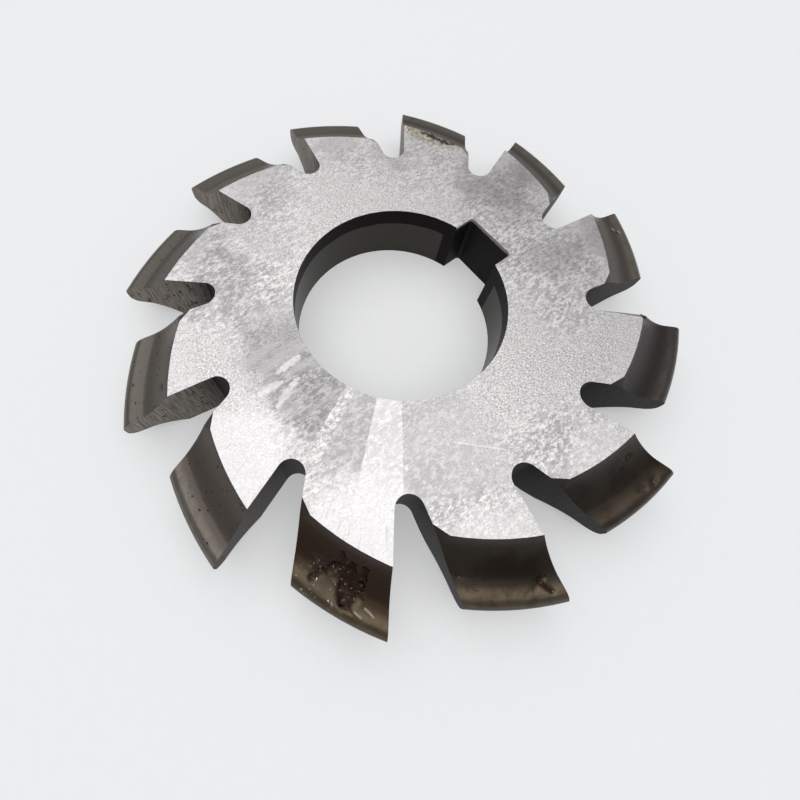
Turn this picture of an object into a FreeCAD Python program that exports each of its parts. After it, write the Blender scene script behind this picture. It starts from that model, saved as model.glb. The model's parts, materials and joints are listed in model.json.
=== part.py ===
# Form-relieved gear milling cutter, one piece of hardened tool steel.
# It lies flat: the origin is on the bore axis at the lower side face,
# +Z runs along the bore, and the keyway points along +Y.
# Seen from above it cuts turning anticlockwise. All sizes are in millimetres and degrees.
import FreeCAD
import Part
import math
import os
from FreeCAD import Vector

# Blank, bore and keyway
tip_diameter = 60.0
cutter_width = 8.0
bore_diameter = 22.0
keyway_width = 6.0
keyway_height = 23.9            # far bore wall to keyway floor
keyway_corner_radius = 0.4
keyway_to_cutting_face = 10.5   # from the nearest cutting face, anticlockwise to the keyway

# Gear whose tooth space gives the teeth their form
gear_module = 2.5
gear_teeth = 12
pressure_angle = 20.0
dedendum_ratio = 1.25           # pitch circle down to the gear's root circle, in modules
tip_corner_radius = 1.1

# Teeth
tooth_count = 12
relief_fall = 3.8               # how far the form sinks towards the bore over one tooth pitch
gash_depth = 11.0
gash_angle = 26.5
gash_bottom_radius = 1.3
heel_bevel_along_flank = 1.1
heel_bevel_along_gash = 0.75
heel_bevel_depth = 0.55

# How far tools and blanks run past what they cut, in millimetres
overrun = 1.0
bevel_overrun = 1.4             # share of its own size
bevel_reach = 3.0               # in distances from the bevel's middle to the corner it takes off

# How far a tooth's sweep starts ahead of its cutting face and stops short of the next, in degrees
face_lead = 1.5
heel_gap = 6.0

# Accuracy of curves and searches
flank_points = 7
search_steps = 50
tolerance = 1e-6

# What follows from the sizes above
tip_radius = tip_diameter / 2
bore_radius = bore_diameter / 2
tooth_pitch = 360.0 / tooth_count
half_width = cutter_width / 2
relief_offset = relief_fall / math.radians(tooth_pitch)
gash_bottom = tip_radius - gash_depth
hub_radius = gash_bottom + gash_bottom_radius
tooth_seat_radius = gash_bottom - gash_bottom_radius
pitch_radius = gear_module * gear_teeth / 2
root_radius = pitch_radius - dedendum_ratio * gear_module
base_radius = pitch_radius * math.cos(math.radians(pressure_angle))
involute_offset = math.tan(math.radians(pressure_angle)) - math.radians(pressure_angle)
base_half_angle = math.pi / (2 * gear_teeth) - involute_offset
AXIS = Vector(0, 0, 1)


def turned(x, y, degrees):
    """The point (x, y) turned about the bore axis."""
    angle = math.radians(degrees)
    return (x * math.cos(angle) - y * math.sin(angle),
            x * math.sin(angle) + y * math.cos(angle))


def involute_point(roll):
    """Height above the gear's centre and half width of its tooth space, at one roll angle."""
    turn = base_half_angle + roll
    height = base_radius * (math.cos(turn) + roll * math.sin(turn))
    half = base_radius * (math.sin(turn) - roll * math.cos(turn))
    return height, half


def halved_search(low, high, is_low):
    """The value between low and high where is_low changes from true to false."""
    for _ in range(search_steps):
        middle = (low + high) / 2
        if is_low(middle):
            low = middle
        else:
            high = middle
    return low


def roll_at(half):
    """Roll angle at which the tooth space is twice half wide."""
    return halved_search(0.0, math.pi / 2, lambda roll: involute_point(roll)[1] < half)


def form_radius(height):
    """Radius on the cutting face of a height in the gear."""
    return tip_radius + root_radius - height


def side_radius(depth, back_angle):
    """Radius of the flank at a depth below the side face, at an angle behind the cutting face."""
    radius = form_radius(involute_point(roll_at(half_width - depth))[0])
    fall = relief_offset * math.sin(math.radians(back_angle))
    return math.hypot(radius, fall) - fall


def relief_direction(radius, angle):
    """Direction from the relief axis of a point given by its radius and angle about the bore axis."""
    x, y = turned(radius, 0, angle)
    return math.degrees(math.atan2(y - relief_offset, x))


def spot(radius, half, sign):
    """A point of the cutting face at its distance from the relief axis, half away from mid width."""
    return Vector(math.hypot(radius, relief_offset), 0, half_width + sign * half)


def flank_curve(sign):
    """Involute flank from the base circle out past the side face."""
    last_roll = roll_at(half_width + overrun)
    points = []
    for step in range(flank_points):
        height, half = involute_point(last_roll * step / (flank_points - 1))
        points.append(spot(form_radius(height), half, sign))
    curve = Part.BSplineCurve()
    curve.interpolate(points)
    return curve.toShape(), points[0], points[-1]


def tip_corner(sign):
    """Rounded corner between the straight lower flank and the tip."""
    lean_sine = math.sin(base_half_angle)
    lean_cosine = math.cos(base_half_angle)
    centre = tip_radius - tip_corner_radius
    centre_half = (form_radius(centre) * lean_sine - tip_corner_radius) / lean_cosine
    bend = (math.pi / 2 - base_half_angle) / 2
    on_tip = spot(tip_radius, centre_half, sign)
    between = spot(centre + tip_corner_radius * math.cos(bend),
                   centre_half + tip_corner_radius * math.sin(bend), sign)
    on_flank = spot(centre + tip_corner_radius * lean_sine,
                    centre_half + tip_corner_radius * lean_cosine, sign)
    return Part.Arc(on_tip, between, on_flank).toShape(), on_tip, on_flank


def tooth_face():
    """Cutting face of one tooth, swung about the relief axis into one plane with it.

    It is carried on past the width and into the hub.
    """
    upper_flank, upper_base, upper_end = flank_curve(1)
    lower_flank, lower_base, lower_end = flank_curve(-1)
    upper_corner, upper_tip, upper_low = tip_corner(1)
    lower_corner, lower_tip, lower_low = tip_corner(-1)
    half_end = upper_end.z - half_width
    upper_seat = spot(tooth_seat_radius, half_end, 1)
    lower_seat = spot(tooth_seat_radius, half_end, -1)
    edges = [
        upper_flank, upper_corner, lower_corner, lower_flank,
        Part.makeLine(upper_base, upper_low),
        Part.makeLine(upper_tip, lower_tip),
        Part.makeLine(lower_low, lower_base),
        Part.makeLine(lower_end, lower_seat),
        Part.makeLine(lower_seat, upper_seat),
        Part.makeLine(upper_seat, upper_end),
    ]
    return Part.Face(Part.Wire(Part.__sortEdges__(edges)))


def gash_corners():
    """Ends of the gash's round bottom, its lowest point and its mouth, for a cutting face on +X."""
    slant = math.radians(gash_angle)
    centre_x = gash_bottom + gash_bottom_radius
    centre_y = gash_bottom_radius
    front = (centre_x, 0.0)
    lowest_angle = math.pi + slant / 2
    lowest = (centre_x + gash_bottom_radius * math.cos(lowest_angle),
              centre_y + gash_bottom_radius * math.sin(lowest_angle))
    back = (centre_x - gash_bottom_radius * math.sin(slant),
            centre_y + gash_bottom_radius * math.cos(slant))
    reach = tip_radius
    mouth = (back[0] + reach * math.cos(slant), back[1] + reach * math.sin(slant))
    return front, lowest, back, mouth


def gash_tool():
    """The chip gash in front of one cutting face: flat rake wall, round bottom, slanting back."""
    front, lowest, back, mouth = [Vector(x, y, -overrun) for x, y in gash_corners()]
    rake_mouth = Vector(mouth.x, 0, -overrun)
    outline = Part.Wire([
        Part.makeLine(rake_mouth, front),
        Part.Arc(front, lowest, back).toShape(),
        Part.makeLine(back, mouth),
        Part.makeLine(mouth, rake_mouth),
    ])
    return Part.Face(outline).extrude(AXIS * (cutter_width + 2 * overrun))


def heel_spot(depth):
    """Where flank and gash meet at the heel, at a depth below the side face, with its angle."""
    wall_x, wall_y = turned(*gash_corners()[2], -tooth_pitch)
    slant = math.radians(gash_angle - tooth_pitch)

    def in_metal(back_angle):
        x, y = turned(side_radius(depth, back_angle), 0, -back_angle)
        return (y - wall_y) * math.cos(slant) - (x - wall_x) * math.sin(slant) > 0

    back_angle = halved_search(0.0, tooth_pitch, in_metal)
    x, y = turned(side_radius(depth, back_angle), 0, -back_angle)
    return Vector(x, y, cutter_width - depth), back_angle


def heel_bevel_tool():
    """Wedge that takes off the heel's corner where side face, flank and gash meet."""
    corner, corner_angle = heel_spot(0.0)
    below = heel_spot(heel_bevel_depth)[0]
    flank_angle = corner_angle - math.degrees(heel_bevel_along_flank / corner.Length)
    x, y = turned(side_radius(0.0, flank_angle), 0, -flank_angle)
    on_flank = Vector(x, y, cutter_width)
    slant = math.radians(gash_angle - tooth_pitch)
    on_wall = corner - Vector(math.cos(slant), math.sin(slant), 0) * heel_bevel_along_gash
    middle = (on_flank + on_wall + below) * (1 / 3)
    wide = [middle + (point - middle) * bevel_overrun for point in (on_flank, on_wall, below)]
    peak = middle + (corner - middle) * bevel_reach
    faces = [Part.Face(Part.makePolygon([a, b, c, a])) for a, b, c in (
        (wide[0], wide[1], wide[2]),
        (wide[0], wide[1], peak),
        (wide[1], wide[2], peak),
        (wide[2], wide[0], peak),
    )]
    return Part.Solid(Part.Shell(faces))


def around(shape):
    """One copy of the shape for each tooth, the first cutting face set from the keyway."""
    copies = []
    for tooth in range(tooth_count):
        copy = shape.copy()
        copy.rotate(Vector(0, 0, 0), AXIS, 90.0 - keyway_to_cutting_face + tooth * tooth_pitch)
        copies.append(copy)
    return copies


def tooth():
    """One form-relieved tooth: its face swept back about an axis set ahead of the bore's."""
    front = relief_direction(tip_radius, face_lead)
    back = relief_direction(hub_radius, heel_gap - tooth_pitch)
    face = tooth_face()
    face.rotate(Vector(0, 0, 0), AXIS, front)
    swept = face.revolve(Vector(0, 0, 0), AXIS, back - front)
    swept.translate(Vector(0, relief_offset, 0))
    blank = Part.makeCylinder(tip_radius + overrun, cutter_width)
    return swept.common(blank)


def keyway_tool():
    """Square keyway along +Y with rounded floor corners."""
    floor = keyway_height - bore_radius
    slot = Part.makeBox(keyway_width, floor, cutter_width + 2 * overrun,
                        Vector(-keyway_width / 2, 0, -overrun))
    along_bore = [edge for edge in slot.Edges if abs(edge.CenterOfMass.z - half_width) < tolerance]
    corners = [edge for edge in along_bore if edge.CenterOfMass.y > floor / 2]
    return slot.makeFillet(keyway_corner_radius, corners)


def cutter():
    """Hub and teeth in one piece, with gashes, heel bevels, bore and keyway cut."""
    hub = Part.makeCylinder(hub_radius, cutter_width)
    body = hub.multiFuse(around(tooth()))
    body = body.cut(around(gash_tool()))
    upper_bevel = heel_bevel_tool()
    lower_bevel = upper_bevel.mirror(Vector(0, 0, half_width), AXIS)
    body = body.cut(around(upper_bevel) + around(lower_bevel))
    bore = Part.makeCylinder(bore_radius, cutter_width + 2 * overrun, Vector(0, 0, -overrun))
    body = body.cut([bore, keyway_tool()])
    return body.removeSplitter().Solids[0]


os.makedirs("parts", exist_ok=True)
cutter().exportStep("parts/cutter.step")
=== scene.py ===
import json
import math

import bmesh
import bpy
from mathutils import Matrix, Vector, noise


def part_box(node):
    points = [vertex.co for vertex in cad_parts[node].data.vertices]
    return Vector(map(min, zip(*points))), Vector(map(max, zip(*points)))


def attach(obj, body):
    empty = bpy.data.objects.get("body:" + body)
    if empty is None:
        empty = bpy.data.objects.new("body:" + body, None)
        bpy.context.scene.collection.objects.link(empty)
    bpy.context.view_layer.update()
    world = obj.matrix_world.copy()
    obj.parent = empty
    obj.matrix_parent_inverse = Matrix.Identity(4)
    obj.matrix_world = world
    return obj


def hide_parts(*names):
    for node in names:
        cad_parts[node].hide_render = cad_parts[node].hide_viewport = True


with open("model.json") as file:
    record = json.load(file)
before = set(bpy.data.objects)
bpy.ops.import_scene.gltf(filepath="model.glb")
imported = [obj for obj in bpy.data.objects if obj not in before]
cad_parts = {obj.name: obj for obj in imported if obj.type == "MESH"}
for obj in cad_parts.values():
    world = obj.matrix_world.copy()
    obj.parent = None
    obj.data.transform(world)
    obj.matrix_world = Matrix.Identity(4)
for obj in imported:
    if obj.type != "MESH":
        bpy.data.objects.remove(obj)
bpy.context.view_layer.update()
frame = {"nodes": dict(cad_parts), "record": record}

MM = 0.001

# The cutter as the frame gives it
NODE = frame["nodes"]["cutter"]
LOW, HIGH = [Vector(corner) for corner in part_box("cutter")]
WIDTH = (HIGH.z - LOW.z) / MM
BORE_RADIUS = frame["record"]["mounts"][0]["dims"]["r_mm"]

# Teeth, counted like the hours on a clock from where the camera stands
TEETH = 12
PITCH = 360 / TEETH
FIRST_FACE_ANGLE = 79.5
FIRST_CLOCK = 3
KEYWAY_HALF = 3.0
KEYWAY_FLOOR = 12.9
GASH_REACH = 26.5
BAND_TOP = 5.6  # height of the bore's ground band
BAND_STOP = KEYWAY_HALF + 1.1  # where it ends beside the keyway

# How faces are told apart: slack in millimetres, then how squarely they face a way
FLAT_REACH = 0.01
BORE_SLACK = 0.1
WALL_SLACK = 0.05
SQUARE_ON = 0.999
INWARD = -0.9
LEANING = 0.01

# Edges, with angles in degrees
WELD = 0.001
FLAT_TURN = 0.3
EDGE_BREAK = 0.05
SHARP_ANGLE = 25
SMOOTH_ANGLE = 40

# Bands of the side face, as angles about the bore; their light and dark are painted reflection of the grinding marks
BRIGHT_WEDGE = (-50.0, -38.4)
SHADED_BAND = (-61.0, -50.5)
STREAKED_PART = (-104.0, -66.5)
GREY_PART = (-38.2, -14.0)

# Round marks on the side face: place, reach, strength; the lighter patches in front are painted reflection on metal
# lightened by rubbing
RUBBED_AND_SHEEN = (((15.4, -16.4), 6.0, 0.8), ((3.6, -22.3), 6.5, 0.8), ((22.5, -8.5), 4.5, 0.4),
          ((22.5, 4.5), 4.0, 0.4))
STAINS = (((-4.4, 21.6), 3.0, 0.5), ((-5.8, 16.8), 4.5, 0.6), ((-2.0, 18.2), 4.0, 0.5),
          ((6.1, 16.5), 4.0, 0.5), ((-9.5, 20.0), 3.5, 0.4), ((-15.5, 12.0), 4.5, 0.3), ((8.0, 24.5), 5.5, 0.6),
          ((-3.5, 24.5), 5.0, 0.5), ((-24.0, -4.0), 9.0, 0.3), ((-19.0, -14.0), 6.0, 0.25),
          ((7.0, 22.5), 4.0, 0.35), ((-21.5, 7.0), 4.5, 0.3), ((-15.0, -8.0), 6.0, 0.2),
          ((-12.0, -14.0), 6.0, 0.35))
# Bright strokes on the side face: from, to, width
STROKES = (((-0.4, -14.8), (-0.65, -11.8), 0.5), ((0.3, -17.4), (0.6, -14.7), 0.6),
           ((2.4, -16.6), (1.1, -13.2), 0.5), ((14.0, -5.7), (17.8, -1.8), 0.1))
CORRODED = ((-18.2, 15.8), (-11.8, 20.1))
CHIPPED = ((-16.6, 16.9), (-12.4, 18.7))

# Hits in the flanks: from, to, width, and depth, or how proud where negative
GOUGE = (((17.0, -19.0, 6.3), (18.3, -20.4, 5.6), 1.3, 0.5), ((17.7, -17.9, 6.8), (18.4, -18.9, 5.9), 0.45, 0.4),
         ((18.4, -18.9, 5.9), (18.4, -20.6, 5.5), 0.45, 0.4), ((15.6, -18.7, 7.0), (16.4, -19.3, 6.3), 0.35, 0.3),
         ((16.4, -19.3, 6.3), (17.3, -19.9, 5.8), 0.4, 0.35), ((17.3, -19.9, 5.8), (18.5, -20.8, 5.5), 0.4, 0.35),
         ((15.9, -19.6, 6.2), (15.4, -21.8, 5.6), 0.5, 0.35), ((17.1, -20.4, 5.7), (18.1, -21.5, 5.5), 0.3, -0.15),
         ((19.0, -20.5, 5.5), (20.2, -20.2, 5.5), 0.2, -0.06), ((19.8, -19.5, 5.6), (20.8, -19.3, 5.5), 0.2, -0.06))
NICKS = (((26.8, -6.2, 5.6), (26.9, -7.4, 5.6), 0.35, 0.22), ((26.9, -6.6, 5.6), (27.9, -6.3, 5.5), 0.35, 0.25),
         ((22.5, -11.8, 5.7), (22.6, -11.8, 5.7), 0.35, 0.15), ((23.8, -11.8, 5.6), (24.4, -11.3, 5.5), 0.3, 0.12),
         ((24.3, 7.0, 6.8), (24.4, 6.5, 6.8), 0.3, 0.15), ((24.7, 5.6, 6.5), (24.7, 5.4, 6.5), 0.3, 0.12),
         ((27.3, 7.8, 5.5), (27.5, 7.5, 5.5), 0.5, 0.16), ((27.1, 6.0, 5.5), (27.3, 6.4, 5.5), 0.35, 0.12),
         ((6.8, 26.6, 5.6), (6.85, 26.6, 5.6), 0.26, 0.3), ((7.4, 26.9, 5.5), (7.45, 26.95, 5.5), 0.28, 0.3),
         ((16.1, 18.8, 8.0), (16.0, 18.6, 7.8), 0.6, 0.35), ((23.1, 16.1, 4.6), (23.2, 15.9, 4.4), 0.24, 0.15),
         ((23.3, 15.6, 4.3), (23.35, 15.4, 4.1), 0.2, -0.1),
         ((-6.0, -24.4, 7.0), (-6.2, -24.3, 7.0), 0.35, 0.15), ((-17.25, 16.37, 7.9), (-17.0, 16.5, 7.9), 0.35, 0.2),
         ((-15.8, 17.15, 7.9), (-15.5, 17.25, 7.9), 0.7, 0.45), ((-14.5, 17.7, 7.9), (-14.4, 17.75, 7.9), 0.45, 0.3),
         ((-13.4, 18.15, 7.9), (-13.2, 18.25, 7.9), 0.8, 0.5))
GOUGE_AREA = ((17.6, -20.0, 6.0), 3.3)
NET_SHARE = 1.2  # how far a nick's net reaches, in its widths
NET_MARGIN = 0.3
HIT_GRAIN = 0.16
HIT_SLOPE = 1.3
RAGGED = 0.35
RAGGED_GRAIN = 2.2

# Floor and light, in metres
FLOOR_HALF = 2.0
FLOOR_GAP = 0.00002
FLOOR_WEAVE = 900.0
GLOW_SHARE = 0.39
SKY_STRENGTH = 0.45
LAMP_PLACE = (-0.17, 0.02, 0.8)
LAMP_LENGTH = 1.45
LAMP_DEPTH = 1.06
LAMP_RADIANCE = 1.24

# Camera
CAMERA_PLACE = (16.1, -19.3, 53.0)
CAMERA_TARGET = (-5.0, -4.0, 4.0)
CAMERA_LENS = 22.4
CAMERA_SENSOR = 36
CAMERA_NEAR = 0.005
CAMERA_SHIFT = (0.075, -0.125)


class Sheet:
    """A node tree being wired. Each call adds one node and hands back its output."""

    def __init__(self, tree):
        self.tree = tree

    def add(self, kind, values=None, **settings):
        node = self.tree.nodes.new("ShaderNode" + kind)
        for name, value in settings.items():
            setattr(node, name, value)
        for name, value in (values or {}).items():
            self.feed(node.inputs[name], value)
        return node

    def feed(self, socket, value):
        if isinstance(value, bpy.types.NodeSocket):
            self.tree.links.new(value, socket)
        else:
            socket.default_value = value

    def math(self, operation, *values, clamp=False):
        return self.add("Math", dict(enumerate(values)), operation=operation, use_clamp=clamp).outputs[0]

    def vector(self, operation, *values):
        node = self.add("VectorMath", operation=operation)
        for socket, value in zip(node.inputs, values):
            self.feed(socket, value)
        return node.outputs["Value" if operation in ("DISTANCE", "LENGTH", "DOT_PRODUCT") else "Vector"]

    def scale(self, vector, factor):
        node = self.add("VectorMath", {"Vector": vector, "Scale": factor}, operation="SCALE")
        return node.outputs["Vector"]

    def ramp(self, value, low, high):
        """0 where value is low, 1 where it is high, smooth between."""
        return self.add("MapRange", {"Value": value, "From Min": low, "From Max": high},
                        interpolation_type="SMOOTHSTEP").outputs["Result"]

    def blend(self, share, first, second):
        node = self.add("Mix", data_type="RGBA")
        self.feed(node.inputs["Factor"], share)
        self.feed(node.inputs[6], first)
        self.feed(node.inputs[7], second)
        return node.outputs[2]

    def mix(self, share, first, second):
        node = self.add("Mix", data_type="FLOAT")
        self.feed(node.inputs["Factor"], share)
        self.feed(node.inputs[2], first)
        self.feed(node.inputs[3], second)
        return node.outputs[0]

    def band(self, value, low, high, low_edge, high_edge):
        """1 where value lies from low to high, fading over an edge at each end."""
        return self.math("MULTIPLY", self.ramp(value, low - low_edge, low), self.ramp(value, high + high_edge, high))

    def noise(self, place, scale, detail=4.0, roughness=0.5):
        return self.add("TexNoise", {"Vector": place, "Scale": scale, "Detail": detail,
                                     "Roughness": roughness}).outputs["Fac"]

    def group(self, tree, values=None):
        node = self.add("Group", node_tree=tree)
        for name, value in (values or {}).items():
            self.feed(node.inputs[name], value)
        return node.outputs


def colour(red, green, blue):
    return (red, green, blue, 1.0)


# Side face: colours
SILVER_SHADE = colour(0.31, 0.29, 0.293)
SILVER = colour(0.78, 0.752, 0.748)
CLOUDED = colour(0.34, 0.33, 0.33)
# Lighter patches in front: painted reflection on metal lightened by rubbing
RUBBED_SHEEN_DARK = colour(0.60, 0.58, 0.578)
RUBBED_SHEEN_LIGHT = colour(0.77, 0.755, 0.752)
TARNISH = colour(0.25, 0.225, 0.24)
CRUST_SHADE = colour(0.19, 0.155, 0.12)
CRUST_LIGHT = colour(0.42, 0.37, 0.31)
EATEN_AWAY = colour(0.05, 0.038, 0.028)
CRUST_LINE = colour(0.66, 0.60, 0.49)
CHIP_BLACK = colour(0.035, 0.028, 0.024)
STROKE_LIGHT = colour(0.72, 0.71, 0.705)
# Sectors of the side face: their light and dark are painted reflection of the grinding marks
SMOOTH_GREY = colour(0.47, 0.455, 0.457)
SMOOTH_FLECK = colour(0.76, 0.74, 0.738)
WEDGE_LIGHT = colour(0.70, 0.685, 0.683)
SHADED_GREY = colour(0.36, 0.35, 0.355)
STREAK_SHADE = colour(0.20, 0.188, 0.20)
STREAK_LIGHT = colour(0.47, 0.455, 0.46)
RIM_LIGHT = colour(0.64, 0.618, 0.616)
RIM_LINE = colour(0.26, 0.245, 0.24)

# Flanks: colours
OILY_BROWN = colour(0.036, 0.028, 0.021)
DEEP_BROWN = colour(0.021, 0.014, 0.010)
OLIVE = colour(0.13, 0.117, 0.10)
WARM_GREY = colour(0.10, 0.083, 0.07)
COOL_BROWN = colour(0.045, 0.036, 0.035)
RED_BROWN = colour(0.038, 0.024, 0.014)
# Painted shade on the tip below the corners
TIP_PAINTED_SHADE = colour(0.012, 0.010, 0.008)
# Painted highlight across the tip's corners
CORNER_HIGHLIGHT_GREY = colour(0.20, 0.18, 0.15)
CORNER_HIGHLIGHT_BROWN = colour(0.145, 0.112, 0.075)
# Painted highlight along the flanks' upper edge
UPPER_EDGE_HIGHLIGHT = colour(0.075, 0.064, 0.066)
SPECKLE_BLACK = colour(0.012, 0.010, 0.009)
PIT_BLACK = colour(0.010, 0.008, 0.007)
SCUFFED = colour(0.075, 0.062, 0.040)
# Hits: reddish black, partly painted shade; painted glints; painted highlight on proud metal
HIT_BROWN_AND_SHADE = colour(0.030, 0.015, 0.010)
GLINT = colour(0.70, 0.62, 0.52)
THROWN_UP_HIGHLIGHT = colour(0.26, 0.21, 0.165)

# Cutting faces, gashes, bore and keyway: colours
RAKE_SHADE = colour(0.10, 0.086, 0.071)
RAKE_LIGHT = colour(0.30, 0.262, 0.222)
RAKE_PIT = colour(0.012, 0.01, 0.01)
RAKE_DEEP = colour(0.03, 0.026, 0.023)
# Painted shade on the cutting faces of teeth 5 to 8
RAKE_PAINTED_SHADE = colour(0.024, 0.02, 0.017)
GASH_SHADE = colour(0.009, 0.008, 0.008)
GASH_LIGHT = colour(0.026, 0.023, 0.023)
GASH_DEEP = colour(0.004, 0.003, 0.003)
BORE_SHADE = colour(0.045, 0.042, 0.036)
BORE_LIGHT = colour(0.07, 0.066, 0.057)
BORE_BLACK = colour(0.008, 0.005, 0.005)
KEYWAY_SHADE = colour(0.006, 0.006, 0.006)
KEYWAY_LIGHT = colour(0.018, 0.016, 0.015)
BURR = colour(0.3, 0.28, 0.28)

# Floor and sky: colours
FLOOR_SHADE = colour(0.87, 0.87, 0.875)
FLOOR_LIGHT = colour(0.91, 0.91, 0.915)
FLOOR_GLOW = colour(0.855, 0.86, 0.865)
SKY = colour(0.96, 0.98, 1.0)


# Shared effects

def new_group(name, inputs, outputs):
    """An empty node group, its sheet, and the inner ends of its sockets."""
    tree = bpy.data.node_groups.new(name, "ShaderNodeTree")
    for socket, kind, value in inputs:
        made = tree.interface.new_socket(name=socket, in_out="INPUT", socket_type="NodeSocket" + kind)
        made.default_value = value
    for socket, kind in outputs:
        tree.interface.new_socket(name=socket, in_out="OUTPUT", socket_type="NodeSocket" + kind)
    sheet = Sheet(tree)
    entry = tree.nodes.new("NodeGroupInput").outputs
    end = tree.nodes.new("NodeGroupOutput").inputs
    return sheet, entry, end


def tooth_place_group():
    """Where a point is: millimetres, radius, angle behind its cutting face, and the tooth's hour."""
    sheet, _, end = new_group("tooth_place", [], [
        ("Place", "Vector"), ("Radius", "Float"), ("Height", "Float"),
        ("Angle", "Float"), ("Behind", "Float"), ("Clock", "Float")])
    place = sheet.scale(sheet.add("TexCoord").outputs["Object"], 1 / MM)
    parts = sheet.add("SeparateXYZ", {"Vector": place}).outputs
    flat = sheet.vector("MULTIPLY", place, (1.0, 1.0, 0.0))
    angle = sheet.math("MULTIPLY", sheet.math("ARCTAN2", parts["Y"], parts["X"]), math.degrees(1))
    turns = sheet.math("DIVIDE", sheet.math("SUBTRACT", FIRST_FACE_ANGLE, angle), PITCH)
    hour = sheet.math("ADD", sheet.math("FLOOR", turns), FIRST_CLOCK)
    sheet.feed(end["Place"], place)
    sheet.feed(end["Radius"], sheet.vector("LENGTH", flat))
    sheet.feed(end["Height"], parts["Z"])
    sheet.feed(end["Angle"], angle)
    sheet.feed(end["Behind"], sheet.math("MULTIPLY", sheet.math("FRACT", turns), PITCH))
    sheet.feed(end["Clock"], sheet.math("FLOORED_MODULO", hour, TEETH))
    return sheet.tree


def patch_group():
    """A ragged round patch."""
    sheet, entry, end = new_group("ragged_patch", [
        ("Place", "Vector", (0, 0, 0)), ("Centre", "Vector", (0, 0, 0)), ("Reach", "Float", 1.0),
        ("Raggedness", "Float", 0.5), ("Softness", "Float", 0.4)], [("Mask", "Float")])
    away = sheet.math("DIVIDE", sheet.vector("DISTANCE", entry["Place"], entry["Centre"]), entry["Reach"])
    rough = sheet.noise(entry["Place"], sheet.math("DIVIDE", 2.2, entry["Reach"]), 5.0, 0.6)
    lift = sheet.math("MULTIPLY", sheet.math("SUBTRACT", rough, 0.5), sheet.math("MULTIPLY", entry["Raggedness"], 3.0))
    inside = sheet.math("ADD", sheet.math("SUBTRACT", 1.0, away), lift)
    sheet.feed(end["Mask"], sheet.ramp(inside, 0.0, entry["Softness"]))
    return sheet.tree


def cut_group():
    """A straight cut from one point to another, widest in its middle."""
    sheet, entry, end = new_group("cut_line", [
        ("Place", "Vector", (0, 0, 0)), ("From", "Vector", (0, 0, 0)), ("To", "Vector", (1, 0, 0)),
        ("Width", "Float", 0.3), ("Raggedness", "Float", 0.3)], [("Mask", "Float")])
    along = sheet.vector("SUBTRACT", entry["To"], entry["From"])
    reach = sheet.vector("SUBTRACT", entry["Place"], entry["From"])
    share = sheet.math("DIVIDE", sheet.vector("DOT_PRODUCT", reach, along),
                       sheet.vector("DOT_PRODUCT", along, along), clamp=True)
    away = sheet.vector("LENGTH", sheet.vector("SUBTRACT", reach, sheet.scale(along, share)))
    rough = sheet.math("SUBTRACT", sheet.noise(entry["Place"], 2.5, 4.0), 0.5)
    away = sheet.math("ADD", away, sheet.math("MULTIPLY", rough, entry["Raggedness"]))
    taper = sheet.math("SQRT", sheet.math("MULTIPLY", share, sheet.math("SUBTRACT", 1.0, share)))
    width = sheet.math("MULTIPLY", entry["Width"], sheet.math("MULTIPLY", taper, 2.0))
    sheet.feed(end["Mask"], sheet.ramp(away, width, sheet.math("MULTIPLY", width, 0.3)))
    return sheet.tree


def pitting_group():
    """Small dark pits: one in some of the cells of a scattered pattern."""
    sheet, entry, end = new_group("pitting", [
        ("Place", "Vector", (0, 0, 0)), ("Spacing", "Float", 0.6), ("Share", "Float", 0.3)],
        [("Mask", "Float")])
    bent = sheet.vector("ADD", entry["Place"], sheet.scale(
        sheet.add("TexNoise", {"Vector": entry["Place"], "Scale": 3.0}).outputs["Color"], 0.25))
    cells = sheet.add("TexVoronoi", {"Vector": bent, "Scale": sheet.math("DIVIDE", 1.0, entry["Spacing"])})
    tint = sheet.add("SeparateXYZ", {"Vector": cells.outputs["Color"]}).outputs
    chosen = sheet.math("LESS_THAN", tint["X"], entry["Share"])
    reach = sheet.math("ADD", sheet.math("MULTIPLY", tint["Y"], 0.22), 0.12)
    hole = sheet.ramp(cells.outputs["Distance"], reach, sheet.math("MULTIPLY", reach, 0.5))
    sheet.feed(end["Mask"], sheet.math("MULTIPLY", hole, chosen))
    return sheet.tree


def grain_group():
    """Crackle, fine grain and crossed scratches of a ground face after long use."""
    sheet, entry, end = new_group("worn_grain", [("Place", "Vector", (0, 0, 0)), ("Coarse", "Float", 0.5)],
                                  [("Value", "Float")])
    combed = sheet.vector("MULTIPLY", entry["Place"], (1.0, 0.5, 1.0))
    crackle = sheet.ramp(sheet.noise(combed, 3.2, 6.0, 0.75), 0.38, 0.62)
    fine = sheet.ramp(sheet.noise(combed, 8.0, 3.0, 0.7), 0.3, 0.7)
    value = sheet.mix(entry["Coarse"], fine, crackle)
    for turn, stretch in ((0.35, 10.0), (1.9, 8.0), (-0.9, 9.0)):
        turned = sheet.add("VectorRotate", {"Vector": entry["Place"], "Angle": turn},
                           rotation_type="Z_AXIS").outputs[0]
        thin = sheet.vector("MULTIPLY", turned, (stretch, 0.6, 1.0))
        line = sheet.ramp(sheet.noise(thin, 0.9, 3.0, 0.6), 0.6, 0.74)
        value = sheet.math("MAXIMUM", value, sheet.math("MULTIPLY", line, 0.9))
    sheet.feed(end["Value"], value)
    return sheet.tree


PLACE = tooth_place_group()
PATCH = patch_group()
CUT = cut_group()
PITS = pitting_group()
GRAIN = grain_group()


# Materials

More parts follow.
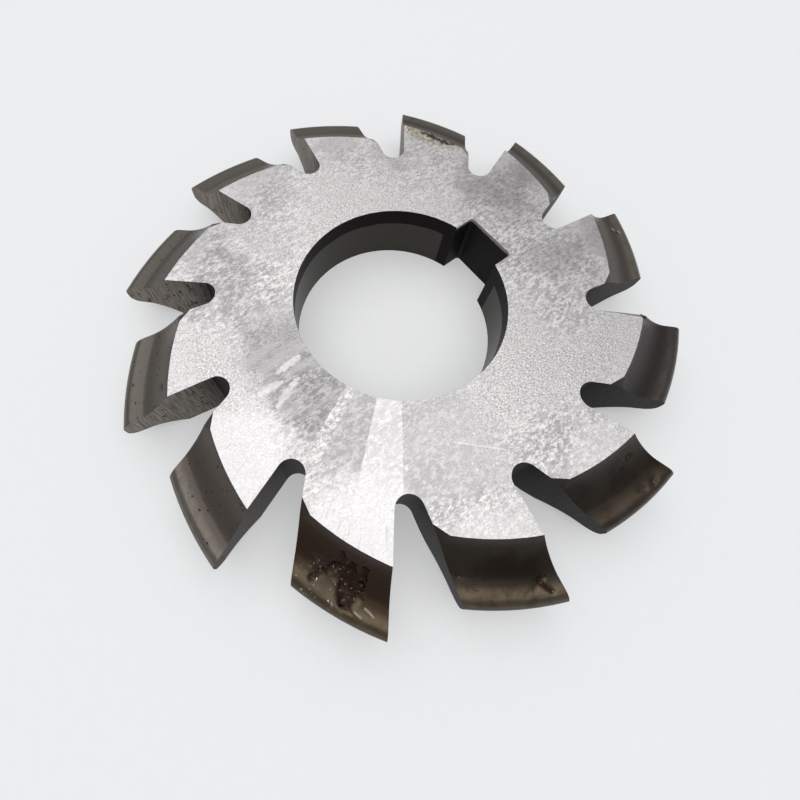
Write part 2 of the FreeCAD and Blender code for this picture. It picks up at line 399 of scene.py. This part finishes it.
def new_finish(name, metallic, specular=0.5):
    """A material with one Principled shader, its sheet, its shader and its place outputs."""
    material = bpy.data.materials.new(name)
    material.use_nodes = True
    material.node_tree.nodes.clear()
    sheet = Sheet(material.node_tree)
    shader = sheet.add("BsdfPrincipled", {"Metallic": metallic, "Specular IOR Level": specular})
    sheet.add("OutputMaterial", {"Surface": shader.outputs[0]})
    return material, sheet, shader.inputs, sheet.group(PLACE)


def dented(sheet, height, depth):
    """A bump normal from a height that runs from 0 to 1, with its depth in millimetres."""
    return sheet.add("Bump", {"Height": height, "Distance": depth * MM, "Strength": 1.0}).outputs["Normal"]


def is_tooth(sheet, place, *hours):
    """1 on the teeth at the given hours."""
    total = 0.0
    for hour in hours:
        hit = sheet.math("COMPARE", place["Clock"], hour % TEETH, 0.25)
        total = sheet.math("ADD", total, hit)
    return total


def on_side(x, y):
    """A place on the upper side face, in millimetres."""
    return (x, y, WIDTH)


def ground_side():
    """Ground side face: silver, crackled, lighter in front as painted reflection on metal lightened by rubbing,
    stained and tarnished behind.
    """
    material, sheet, shader, place = new_finish("ground_side", 1.0)
    spot, radius, angle = place["Place"], place["Radius"], place["Angle"]
    cloud = sheet.noise(spot, 0.09, 3.0)
    waver = sheet.math("MULTIPLY", sheet.math("SUBTRACT", sheet.noise(spot, 0.6, 4.0), 0.5), 3.0)
    # Lighter patches in front: painted reflection on metal lightened by rubbing
    rubbed_and_sheen = 0.0
    for (x, y), reach, share in RUBBED_AND_SHEEN:
        mask = sheet.group(PATCH, {"Place": spot, "Centre": on_side(x, y), "Reach": reach,
                                   "Raggedness": 0.35, "Softness": 0.5})["Mask"]
        rubbed_and_sheen = sheet.math("MAXIMUM", rubbed_and_sheen, sheet.math("MULTIPLY", mask, share))
    coarse = sheet.mix(rubbed_and_sheen, sheet.ramp(cloud, 0.3, 0.7), 0.15)
    grain = sheet.group(GRAIN, {"Place": spot, "Coarse": coarse})["Value"]
    tone = sheet.blend(grain, SILVER_SHADE, SILVER)
    tone = sheet.blend(sheet.math("MULTIPLY", sheet.ramp(cloud, 0.45, 0.7), 0.2), tone, CLOUDED)
    tone = ground_bands(sheet, tone, grain, sheet.math("ADD", radius, waver), angle, spot)
    tone = sheet.blend(rubbed_and_sheen, tone, sheet.blend(grain, RUBBED_SHEEN_DARK, RUBBED_SHEEN_LIGHT))
    tone = rim_marks(sheet, tone, place)
    for (x, y), reach, share in STAINS:
        stain = sheet.group(PATCH, {"Place": spot, "Centre": on_side(x, y), "Reach": reach,
                                    "Raggedness": 0.7, "Softness": 0.9})["Mask"]
        tone = sheet.blend(sheet.math("MULTIPLY", stain, share), tone, TARNISH)
    rust = sheet.group(CUT, {"Place": spot, "From": on_side(*CORRODED[0]), "To": on_side(*CORRODED[1]),
                             "Width": 2.4, "Raggedness": 3.0})["Mask"]
    crust = sheet.blend(grain, CRUST_SHADE, CRUST_LIGHT)
    eaten = sheet.ramp(sheet.noise(spot, 2.6, 5.0, 0.7), 0.57, 0.64)
    crust = sheet.blend(eaten, crust, EATEN_AWAY)
    level = sheet.math("ABSOLUTE", sheet.math("SUBTRACT", sheet.noise(spot, 1.5, 3.0), 0.5))
    crust = sheet.blend(sheet.ramp(level, 0.03, 0.008), crust, CRUST_LINE)
    tone = sheet.blend(sheet.math("MULTIPLY", rust, 0.85), tone, crust)
    chipped = sheet.group(CUT, {"Place": spot, "From": on_side(*CHIPPED[0]), "To": on_side(*CHIPPED[1]),
                                "Width": 0.5, "Raggedness": 1.4})["Mask"]
    tone = sheet.blend(sheet.math("MULTIPLY", chipped, 0.9), tone, CHIP_BLACK)
    for start, stop, width in STROKES:
        stroke = sheet.group(CUT, {"Place": spot, "From": on_side(*start), "To": on_side(*stop),
                                   "Width": width, "Raggedness": width})["Mask"]
        tone = sheet.blend(sheet.math("MULTIPLY", stroke, 0.55), tone, STROKE_LIGHT)
    sheet.feed(shader["Base Color"], tone)
    rough = sheet.mix(grain, 0.44, 0.34)
    sheet.feed(shader["Roughness"], sheet.mix(rust, rough, 0.55))
    sheet.feed(shader["Normal"], dented(sheet, grain, 0.012))
    return material


def ground_bands(sheet, tone, grain, radius, angle, spot):
    """Sectors of the side face that were ground in separate strokes; their light and dark are painted reflection of
    the grinding marks.
    """
    hub = sheet.ramp(radius, 20.0, 16.5)
    grey = sheet.math("MULTIPLY", sheet.band(angle, *GREY_PART, 0.3, 12.0), sheet.ramp(radius, 20.5, 19.0))
    flecks = sheet.ramp(sheet.noise(spot, 1.6, 5.0, 0.7), 0.6, 0.68)
    smooth = sheet.blend(flecks, SMOOTH_GREY, SMOOTH_FLECK)
    tone = sheet.blend(sheet.math("MULTIPLY", grey, 0.65), tone, smooth)
    wedge = sheet.math("MULTIPLY", sheet.band(angle, *BRIGHT_WEDGE, 0.8, 0.2), 0.6)
    tone = sheet.blend(wedge, tone, WEDGE_LIGHT)
    shaded = sheet.math("MULTIPLY", sheet.band(angle, *SHADED_BAND, 1.5, 0.5), hub)
    tone = sheet.blend(sheet.math("MULTIPLY", shaded, 0.6), tone, SHADED_GREY)
    streaked = sheet.math("MULTIPLY", sheet.band(angle, *STREAKED_PART, 30.0, 0.6), sheet.ramp(radius, 18.5, 15.5))
    lensed = sheet.ramp(sheet.noise(sheet.vector("MULTIPLY", spot, (1.0, 0.16, 1.0)), 0.9, 3.0), 0.5, 0.6)
    light = sheet.math("MAXIMUM", sheet.math("MULTIPLY", grain, 0.75), sheet.math("MULTIPLY", lensed, 0.6))
    streaks = sheet.blend(light, STREAK_SHADE, STREAK_LIGHT)
    return sheet.blend(sheet.math("MULTIPLY", streaked, 0.85), tone, streaks)


def rim_marks(sheet, tone, place):
    """Smoother outer part of each tooth, with fine dark lines that run outwards."""
    around = sheet.math("MULTIPLY", place["Angle"], 1.6)
    lined = sheet.add("CombineXYZ", {"X": around, "Y": sheet.math("MULTIPLY", place["Radius"], 0.3)}).outputs[0]
    lines = sheet.ramp(sheet.noise(lined, 1.3, 3.0, 0.6), 0.42, 0.3)
    outer = sheet.ramp(place["Radius"], 20.8, 22.2)
    smooth = sheet.blend(lines, RIM_LIGHT, RIM_LINE)
    return sheet.blend(sheet.math("MULTIPLY", outer, 0.4), tone, smooth)


def relieved_flank():
    """Form-relieved flanks and tips: dark, oily, speckled, with painted highlights across the tip's corners and along
    the upper edge, and painted shade on the tip below the corners.
    """
    material, sheet, shader, place = new_finish("relieved_flank", 0.85)
    spot = place["Place"]
    speckle = sheet.noise(spot, 3.0, 8.0, 0.7)
    brown = sheet.ramp(sheet.noise(spot, 0.25, 3.0), 0.4, 0.65)
    tone = sheet.blend(brown, OILY_BROWN, DEEP_BROWN)
    olive = is_tooth(sheet, place, 9, 10, 11, 12)
    tone = sheet.blend(olive, tone, OLIVE)
    warm = is_tooth(sheet, place, 8, 1, 2, 3)
    tone = sheet.blend(warm, tone, WARM_GREY)
    tone = sheet.blend(is_tooth(sheet, place, 4), tone, COOL_BROWN)
    tone = sheet.blend(is_tooth(sheet, place, 7), tone, RED_BROWN)
    half = sheet.math("ABSOLUTE", sheet.math("SUBTRACT", place["Height"], WIDTH / 2))
    # Painted highlight across the tip's corners, where their rounding faces the lamp; weaker on teeth 4 and 5 and the
    # olive teeth
    patchy = sheet.ramp(sheet.noise(spot, 0.8, 4.0, 0.6), 0.3, 0.6)
    corner_highlight = sheet.math("MULTIPLY", sheet.band(half, 1.15, 1.52, 0.3, 0.1), sheet.mix(patchy, 0.5, 1.0))
    dull = sheet.math("MULTIPLY", is_tooth(sheet, place, 4, 5), 0.6)
    held = sheet.math("ADD", sheet.math("MULTIPLY", olive, 0.8), dull)
    corner_highlight = sheet.math("MULTIPLY", corner_highlight, sheet.math("SUBTRACT", 1.0, held))
    # Painted shade on the tip below the corners, where the tip would mirror the floor
    tone = sheet.blend(sheet.math("MULTIPLY", sheet.ramp(half, 1.2, 0.7), 0.7), tone, TIP_PAINTED_SHADE)
    # Colour of the painted highlight on the corners
    highlight_tone = sheet.blend(is_tooth(sheet, place, 5, 6, 7), CORNER_HIGHLIGHT_GREY, CORNER_HIGHLIGHT_BROWN)
    tone = sheet.blend(sheet.math("MULTIPLY", corner_highlight, 0.7), tone, highlight_tone)
    # Painted highlight along the flank's upper edge, beside the side face
    tone = sheet.blend(sheet.math("MULTIPLY", sheet.ramp(half, 3.2, 3.9), 0.5), tone, UPPER_EDGE_HIGHLIGHT)
    pits = sheet.group(PITS, {"Place": spot, "Spacing": 0.45, "Share": 0.35})["Mask"]
    pits = sheet.math("MULTIPLY", pits, is_tooth(sheet, place, 8, 9, 10))
    dark = sheet.math("MULTIPLY", sheet.ramp(speckle, 0.55, 0.75), sheet.mix(corner_highlight, 0.5, 0.15))
    tone = sheet.blend(dark, tone, SPECKLE_BLACK)
    tone = sheet.blend(sheet.math("MULTIPLY", pits, 0.8), tone, PIT_BLACK)
    tone = hit_marks(sheet, tone, spot)
    sheet.feed(shader["Base Color"], tone)
    sheet.feed(shader["Roughness"], sheet.mix(speckle, 0.28, 0.46))
    height = sheet.math("SUBTRACT", sheet.math("MULTIPLY", speckle, 0.3), pits)
    sheet.feed(shader["Normal"], dented(sheet, height, 0.03))
    return material


def hit_marks(sheet, tone, spot):
    """Hits: reddish black, fading in with depth, partly their colour and partly painted shade; painted highlight on
    what they threw up; painted glints round the large one and in the hits.
    """
    dent = sheet.add("Attribute", attribute_name="dent", attribute_type="GEOMETRY").outputs["Fac"]
    scuffed = sheet.group(PATCH, {"Place": spot, "Centre": (16.2, -21.4, 5.6), "Reach": 2.2,
                                  "Raggedness": 0.6, "Softness": 0.5})["Mask"]
    tone = sheet.blend(sheet.math("MULTIPLY", scuffed, 0.5), tone, SCUFFED)
    # Painted shade, partly the hits' own reddish black: darker with depth over the whole hollow
    hollow = sheet.ramp(dent, 0.04, 0.22)
    tone = sheet.blend(hollow, tone, HIT_BROWN_AND_SHADE)
    # Painted glints round the large hit and in the hits
    glints = sheet.ramp(sheet.noise(spot, 3.2, 3.0, 0.6), 0.64, 0.69)
    glints = sheet.math("MULTIPLY", glints, sheet.math("MAXIMUM", scuffed, sheet.math("MULTIPLY", hollow, 0.4)))
    tone = sheet.blend(glints, tone, GLINT)
    # Painted highlight on the metal the hits threw up
    return sheet.blend(sheet.ramp(dent, -0.01, -0.05), tone, THROWN_UP_HIGHLIGHT)


def rake_face():
    """Ground cutting faces: grey-brown, grinding lines along the bore, dark pits, darker towards the gash bottom, and
    painted shade on the faces of teeth 5 to 8.
    """
    material, sheet, shader, place = new_finish("rake_face", 0.4, 0.05)
    lined = sheet.vector("MULTIPLY", place["Place"], (5.0, 5.0, 0.22))
    lines = sheet.noise(lined, 1.6, 4.0, 0.6)
    tone = sheet.blend(sheet.ramp(lines, 0.35, 0.65), RAKE_SHADE, RAKE_LIGHT)
    pits = sheet.group(PITS, {"Place": place["Place"], "Spacing": 0.8, "Share": 0.3})["Mask"]
    long = sheet.noise(sheet.vector("MULTIPLY", place["Place"], (2.0, 2.0, 0.9)), 0.9, 4.0, 0.6)
    holes = sheet.math("MULTIPLY", sheet.ramp(long, 0.6, 0.66), is_tooth(sheet, place, 10, 11))
    pits = sheet.math("MAXIMUM", pits, holes)
    tone = sheet.blend(pits, tone, RAKE_PIT)
    depth = sheet.ramp(place["Radius"], 23.0, 19.5)
    tone = sheet.blend(sheet.math("MULTIPLY", depth, 0.8), tone, RAKE_DEEP)
    # Painted shade on the cutting faces of teeth 5 to 8, which are also made less metallic
    near = is_tooth(sheet, place, 5, 6, 7, 8)
    tone = sheet.blend(sheet.math("MULTIPLY", near, 0.85), tone, RAKE_PAINTED_SHADE)
    sheet.feed(shader["Base Color"], tone)
    sheet.feed(shader["Metallic"], sheet.mix(near, 0.4, 0.04))
    sheet.feed(shader["Roughness"], 0.42)
    sheet.feed(shader["Normal"], dented(sheet, sheet.math("SUBTRACT", lines, pits), 0.03))
    return material


def gash_wall():
    """Round bottom and back wall of the gashes: blackened."""
    material, sheet, shader, place = new_finish("gash_wall", 0.05, 0.06)
    lined = sheet.vector("MULTIPLY", place["Place"], (4.0, 4.0, 0.3))
    lines = sheet.noise(lined, 1.2, 4.0, 0.6)
    tone = sheet.blend(sheet.ramp(lines, 0.35, 0.65), GASH_SHADE, GASH_LIGHT)
    deep = sheet.ramp(place["Radius"], 22.0, 19.8)
    tone = sheet.blend(deep, tone, GASH_DEEP)
    sheet.feed(shader["Base Color"], tone)
    sheet.feed(shader["Roughness"], 0.45)
    sheet.feed(shader["Normal"], dented(sheet, lines, 0.02))
    return material


def bore_wall():
    """Bore: blackened upper band over a ground band that stops short of the keyway."""
    material, sheet, shader, place = new_finish("bore_wall", 0.18, 0.05)
    waver = sheet.math("MULTIPLY", sheet.math("SUBTRACT", sheet.noise(place["Place"], 0.35, 4.0), 0.5), 0.5)
    band = sheet.ramp(sheet.math("ADD", place["Height"], waver), BAND_TOP + 0.15, BAND_TOP)
    parts = sheet.add("SeparateXYZ", {"Vector": place["Place"]}).outputs
    near_key = sheet.math("GREATER_THAN", parts["Y"], 0.0)
    short = sheet.ramp(sheet.math("ABSOLUTE", parts["X"]), BAND_STOP + 0.2, BAND_STOP)
    short = sheet.math("MULTIPLY", near_key, short)
    ground = sheet.math("MULTIPLY", band, sheet.math("SUBTRACT", 1.0, short))
    fine = sheet.noise(sheet.vector("MULTIPLY", place["Place"], (1.0, 1.0, 6.0)), 1.5, 4.0)
    bright = sheet.blend(fine, BORE_SHADE, BORE_LIGHT)
    tone = sheet.blend(ground, BORE_BLACK, bright)
    sheet.feed(shader["Base Color"], tone)
    sheet.feed(shader["Roughness"], sheet.mix(ground, 0.5, 0.3))
    sheet.feed(shader["Normal"], dented(sheet, fine, 0.004))
    return material


def keyway_wall():
    """Keyway walls: near black, with a light burr along the upper edge of the floor."""
    material, sheet, shader, place = new_finish("keyway_wall", 0.1, 0.08)
    rough = sheet.noise(place["Place"], 1.5, 5.0)
    burr = sheet.ramp(sheet.math("ADD", place["Height"], sheet.math("MULTIPLY", rough, 0.4)),
                      WIDTH - 0.35, WIDTH - 0.15)
    tone = sheet.blend(rough, KEYWAY_SHADE, KEYWAY_LIGHT)
    tone = sheet.blend(burr, tone, BURR)
    sheet.feed(shader["Base Color"], tone)
    sheet.feed(shader["Roughness"], 0.55)
    sheet.feed(shader["Normal"], dented(sheet, rough, 0.02))
    return material


# The cutter's dressed body

FINISHES = ("side", "flank", "rake", "gash", "bore", "keyway")


def finish_of(face):
    """Which finish a face of the undressed solid has, from where it lies and how it faces."""
    centre = face.calc_center_median() / MM
    normal = face.normal
    outward = Vector((centre.x, centre.y, 0)).normalized()
    radius = math.hypot(centre.x, centre.y)
    if min(abs(centre.z), abs(centre.z - WIDTH)) < FLAT_REACH and abs(normal.z) > SQUARE_ON:
        return "side"
    if radius < BORE_RADIUS + BORE_SLACK and normal.dot(outward) < INWARD:
        return "bore"
    if abs(centre.x) < KEYWAY_HALF + WALL_SLACK and 0 < centre.y < KEYWAY_FLOOR + WALL_SLACK:
        return "keyway"
    if abs(normal.z) > LEANING or radius > GASH_REACH:
        return "flank" if not faces_ahead(centre, normal) else "rake"
    return "rake" if faces_ahead(centre, normal) else "gash"


def faces_ahead(centre, normal):
    """Whether a face lies in one of the radial cutting planes."""
    angle = math.degrees(math.atan2(centre.y, centre.x))
    step = round((angle - FIRST_FACE_ANGLE) / PITCH)
    plane = math.radians(FIRST_FACE_ANGLE + step * PITCH)
    ahead = Vector((-math.sin(plane), math.cos(plane), 0))
    return normal.dot(ahead) > SQUARE_ON and abs(centre.dot(ahead)) < WALL_SLACK


def bare_body():
    """A merged copy of the cutter's solid with each face given its finish."""
    body = bmesh.new()
    body.from_mesh(NODE.data)
    bmesh.ops.remove_doubles(body, verts=body.verts, dist=MM * WELD)
    bmesh.ops.dissolve_limit(body, angle_limit=math.radians(FLAT_TURN), verts=body.verts, edges=body.edges)
    for face in body.faces:
        face.material_index = FINISHES.index(finish_of(face))
        face.smooth = True
    return body


def break_edges(body):
    """Takes the sharpness off every edge, as handling does."""
    sharp = [edge for edge in body.edges if edge.calc_face_angle(0) > math.radians(SHARP_ANGLE)]
    bmesh.ops.bevel(body, geom=sharp, offset=EDGE_BREAK * MM, offset_type="OFFSET", segments=2,
                    profile=0.5, affect="EDGES", clamp_overlap=True, material=-1)


def away(point, start, stop):
    """How far a point is from the stretch between two others."""
    along = stop - start
    share = min(max((point - start).dot(along) / along.dot(along), 0), 1)
    return (point - start - along * share).length


def flank_near(body, middle, reach):
    """The flank's faces that reach into a ball, with their edges and corners."""
    body.verts.index_update()
    body.edges.index_update()
    corners, edges, faces = {}, {}, []
    for face in body.faces:
        centre = face.calc_center_median()
        size = max((vert.co - centre).length for vert in face.verts)
        if FINISHES[face.material_index] == "flank" and (centre - middle).length < reach + size:
            faces.append(face)
            corners.update((vert.index, vert) for vert in face.verts)
            edges.update((edge.index, edge) for edge in face.edges)
    return list(corners.values()) + list(edges.values()) + faces


def cut_net(body, middle, reach):
    """Cuts a fine net into the flank inside a ball, so that it can take the shape of a hit."""
    middle = Vector(middle) * MM
    reach = reach * MM
    part = flank_near(body, middle, reach)
    lines = math.ceil(reach / (HIT_GRAIN * MM))
    for axis in (Vector((1, 0, 0)), Vector((0, 1, 0)), Vector((0, 0, 1))):
        for line in range(-lines, lines + 1):
            place = middle + axis * HIT_GRAIN * MM * line
            part = bmesh.ops.bisect_plane(body, geom=part, dist=MM * WELD, plane_co=place, plane_no=axis)["geom"]


def strike(body, dent, start, stop, width, depth):
    """Pushes the metal in along a hit, or out where it stands proud, with a ragged edge."""
    start, stop = Vector(start), Vector(stop)
    body.normal_update()
    moved = []
    for vert in body.verts:
        point = vert.co / MM
        share = 1 - away(point, start, stop) / width * (1 + RAGGED * noise.noise(point * RAGGED_GRAIN))
        if share > 0:
            moved.append((vert, vert.normal * depth * share ** HIT_SLOPE, depth * share ** HIT_SLOPE))
    for vert, push, amount in moved:
        vert.co -= push * MM
        vert[dent] += amount


def dressed_cutter():
    """The cutter as it looks: broken edges, hits, and a finish on each kind of face."""
    body = bare_body()
    break_edges(body)
    dent = body.verts.layers.float.new("dent")
    cut_net(body, *GOUGE_AREA)
    for start, stop, width, _ in NICKS:
        cut_net(body, (Vector(start) + Vector(stop)) / 2, NET_SHARE * width + NET_MARGIN)
    for hit in GOUGE + NICKS:
        strike(body, dent, *hit)
    for face in body.faces:
        face.smooth = True
    mesh = bpy.data.meshes.new("worn_cutter")
    body.to_mesh(mesh)
    body.free()
    for make in (ground_side, relieved_flank, rake_face, gash_wall, bore_wall, keyway_wall):
        mesh.materials.append(make())
    mesh.set_sharp_from_angle(angle=math.radians(SMOOTH_ANGLE))
    piece = bpy.data.objects.new("worn_cutter", mesh)
    bpy.context.scene.collection.objects.link(piece)
    even = piece.modifiers.new("even_normals", "WEIGHTED_NORMAL")
    even.keep_sharp = True
    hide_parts("cutter")
    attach(piece, "root")
    return piece


# Floor, light and camera

def floor():
    """A plain pale floor under the cutter."""
    slab = bmesh.new()
    bmesh.ops.create_grid(slab, x_segments=1, y_segments=1, size=FLOOR_HALF)
    mesh = bpy.data.meshes.new("floor")
    slab.to_mesh(mesh)
    slab.free()
    material = bpy.data.materials.new("pale_floor")
    material.use_nodes = True
    sheet = Sheet(material.node_tree)
    shader = material.node_tree.nodes["Principled BSDF"].inputs
    place = sheet.add("TexCoord").outputs["Object"]
    weave = sheet.noise(place, FLOOR_WEAVE, 3.0)
    sheet.feed(shader["Base Color"], sheet.blend(weave, FLOOR_SHADE, FLOOR_LIGHT))
    sheet.feed(shader["Roughness"], 0.6)
    path = sheet.add("LightPath").outputs
    seen = sheet.math("MAXIMUM", path["Is Camera Ray"], path["Is Glossy Ray"])
    glow = sheet.add("Emission", {"Color": FLOOR_GLOW, "Strength": 1.0}).outputs[0]
    both = sheet.add("MixShader", {0: sheet.math("MULTIPLY", seen, GLOW_SHARE)})
    sheet.feed(both.inputs[1], material.node_tree.nodes["Principled BSDF"].outputs[0])
    sheet.feed(both.inputs[2], glow)
    sheet.feed(material.node_tree.nodes["Material Output"].inputs["Surface"], both.outputs[0])
    mesh.materials.append(material)
    slab_object = bpy.data.objects.new("floor", mesh)
    bpy.context.scene.collection.objects.link(slab_object)
    slab_object.location.z = LOW.z - FLOOR_GAP


def lamp(name, place, length, depth, radiance):
    """A soft rectangular lamp that shines straight down."""
    light = bpy.data.lights.new(name, "AREA")
    light.shape = "RECTANGLE"
    light.size = length
    light.size_y = depth
    light.energy = radiance * math.pi * length * depth
    holder = bpy.data.objects.new(name, light)
    bpy.context.scene.collection.objects.link(holder)
    holder.location = place


def lights():
    """Even sky light with a large soft lamp overhead."""
    world = bpy.data.worlds.new("studio")
    bpy.context.scene.world = world
    world.use_nodes = True
    sky = world.node_tree.nodes["Background"].inputs
    sky["Color"].default_value = SKY
    sky["Strength"].default_value = SKY_STRENGTH
    lamp("overhead", LAMP_PLACE, LAMP_LENGTH, LAMP_DEPTH, LAMP_RADIANCE)


def camera():
    """The photograph's view."""
    lens = bpy.data.cameras.new("camera")
    lens.lens = CAMERA_LENS
    lens.sensor_width = CAMERA_SENSOR
    lens.shift_x, lens.shift_y = CAMERA_SHIFT
    lens.clip_start = CAMERA_NEAR
    holder = bpy.data.objects.new("camera", lens)
    bpy.context.scene.collection.objects.link(holder)
    place = Vector(CAMERA_PLACE) * MM
    holder.location = place
    holder.rotation_euler = (Vector(CAMERA_TARGET) * MM - place).to_track_quat("-Z", "Y").to_euler()
    bpy.context.scene.camera = holder


bpy.context.scene.view_settings.view_transform = "Standard"
dressed_cutter()
floor()
lights()
camera()
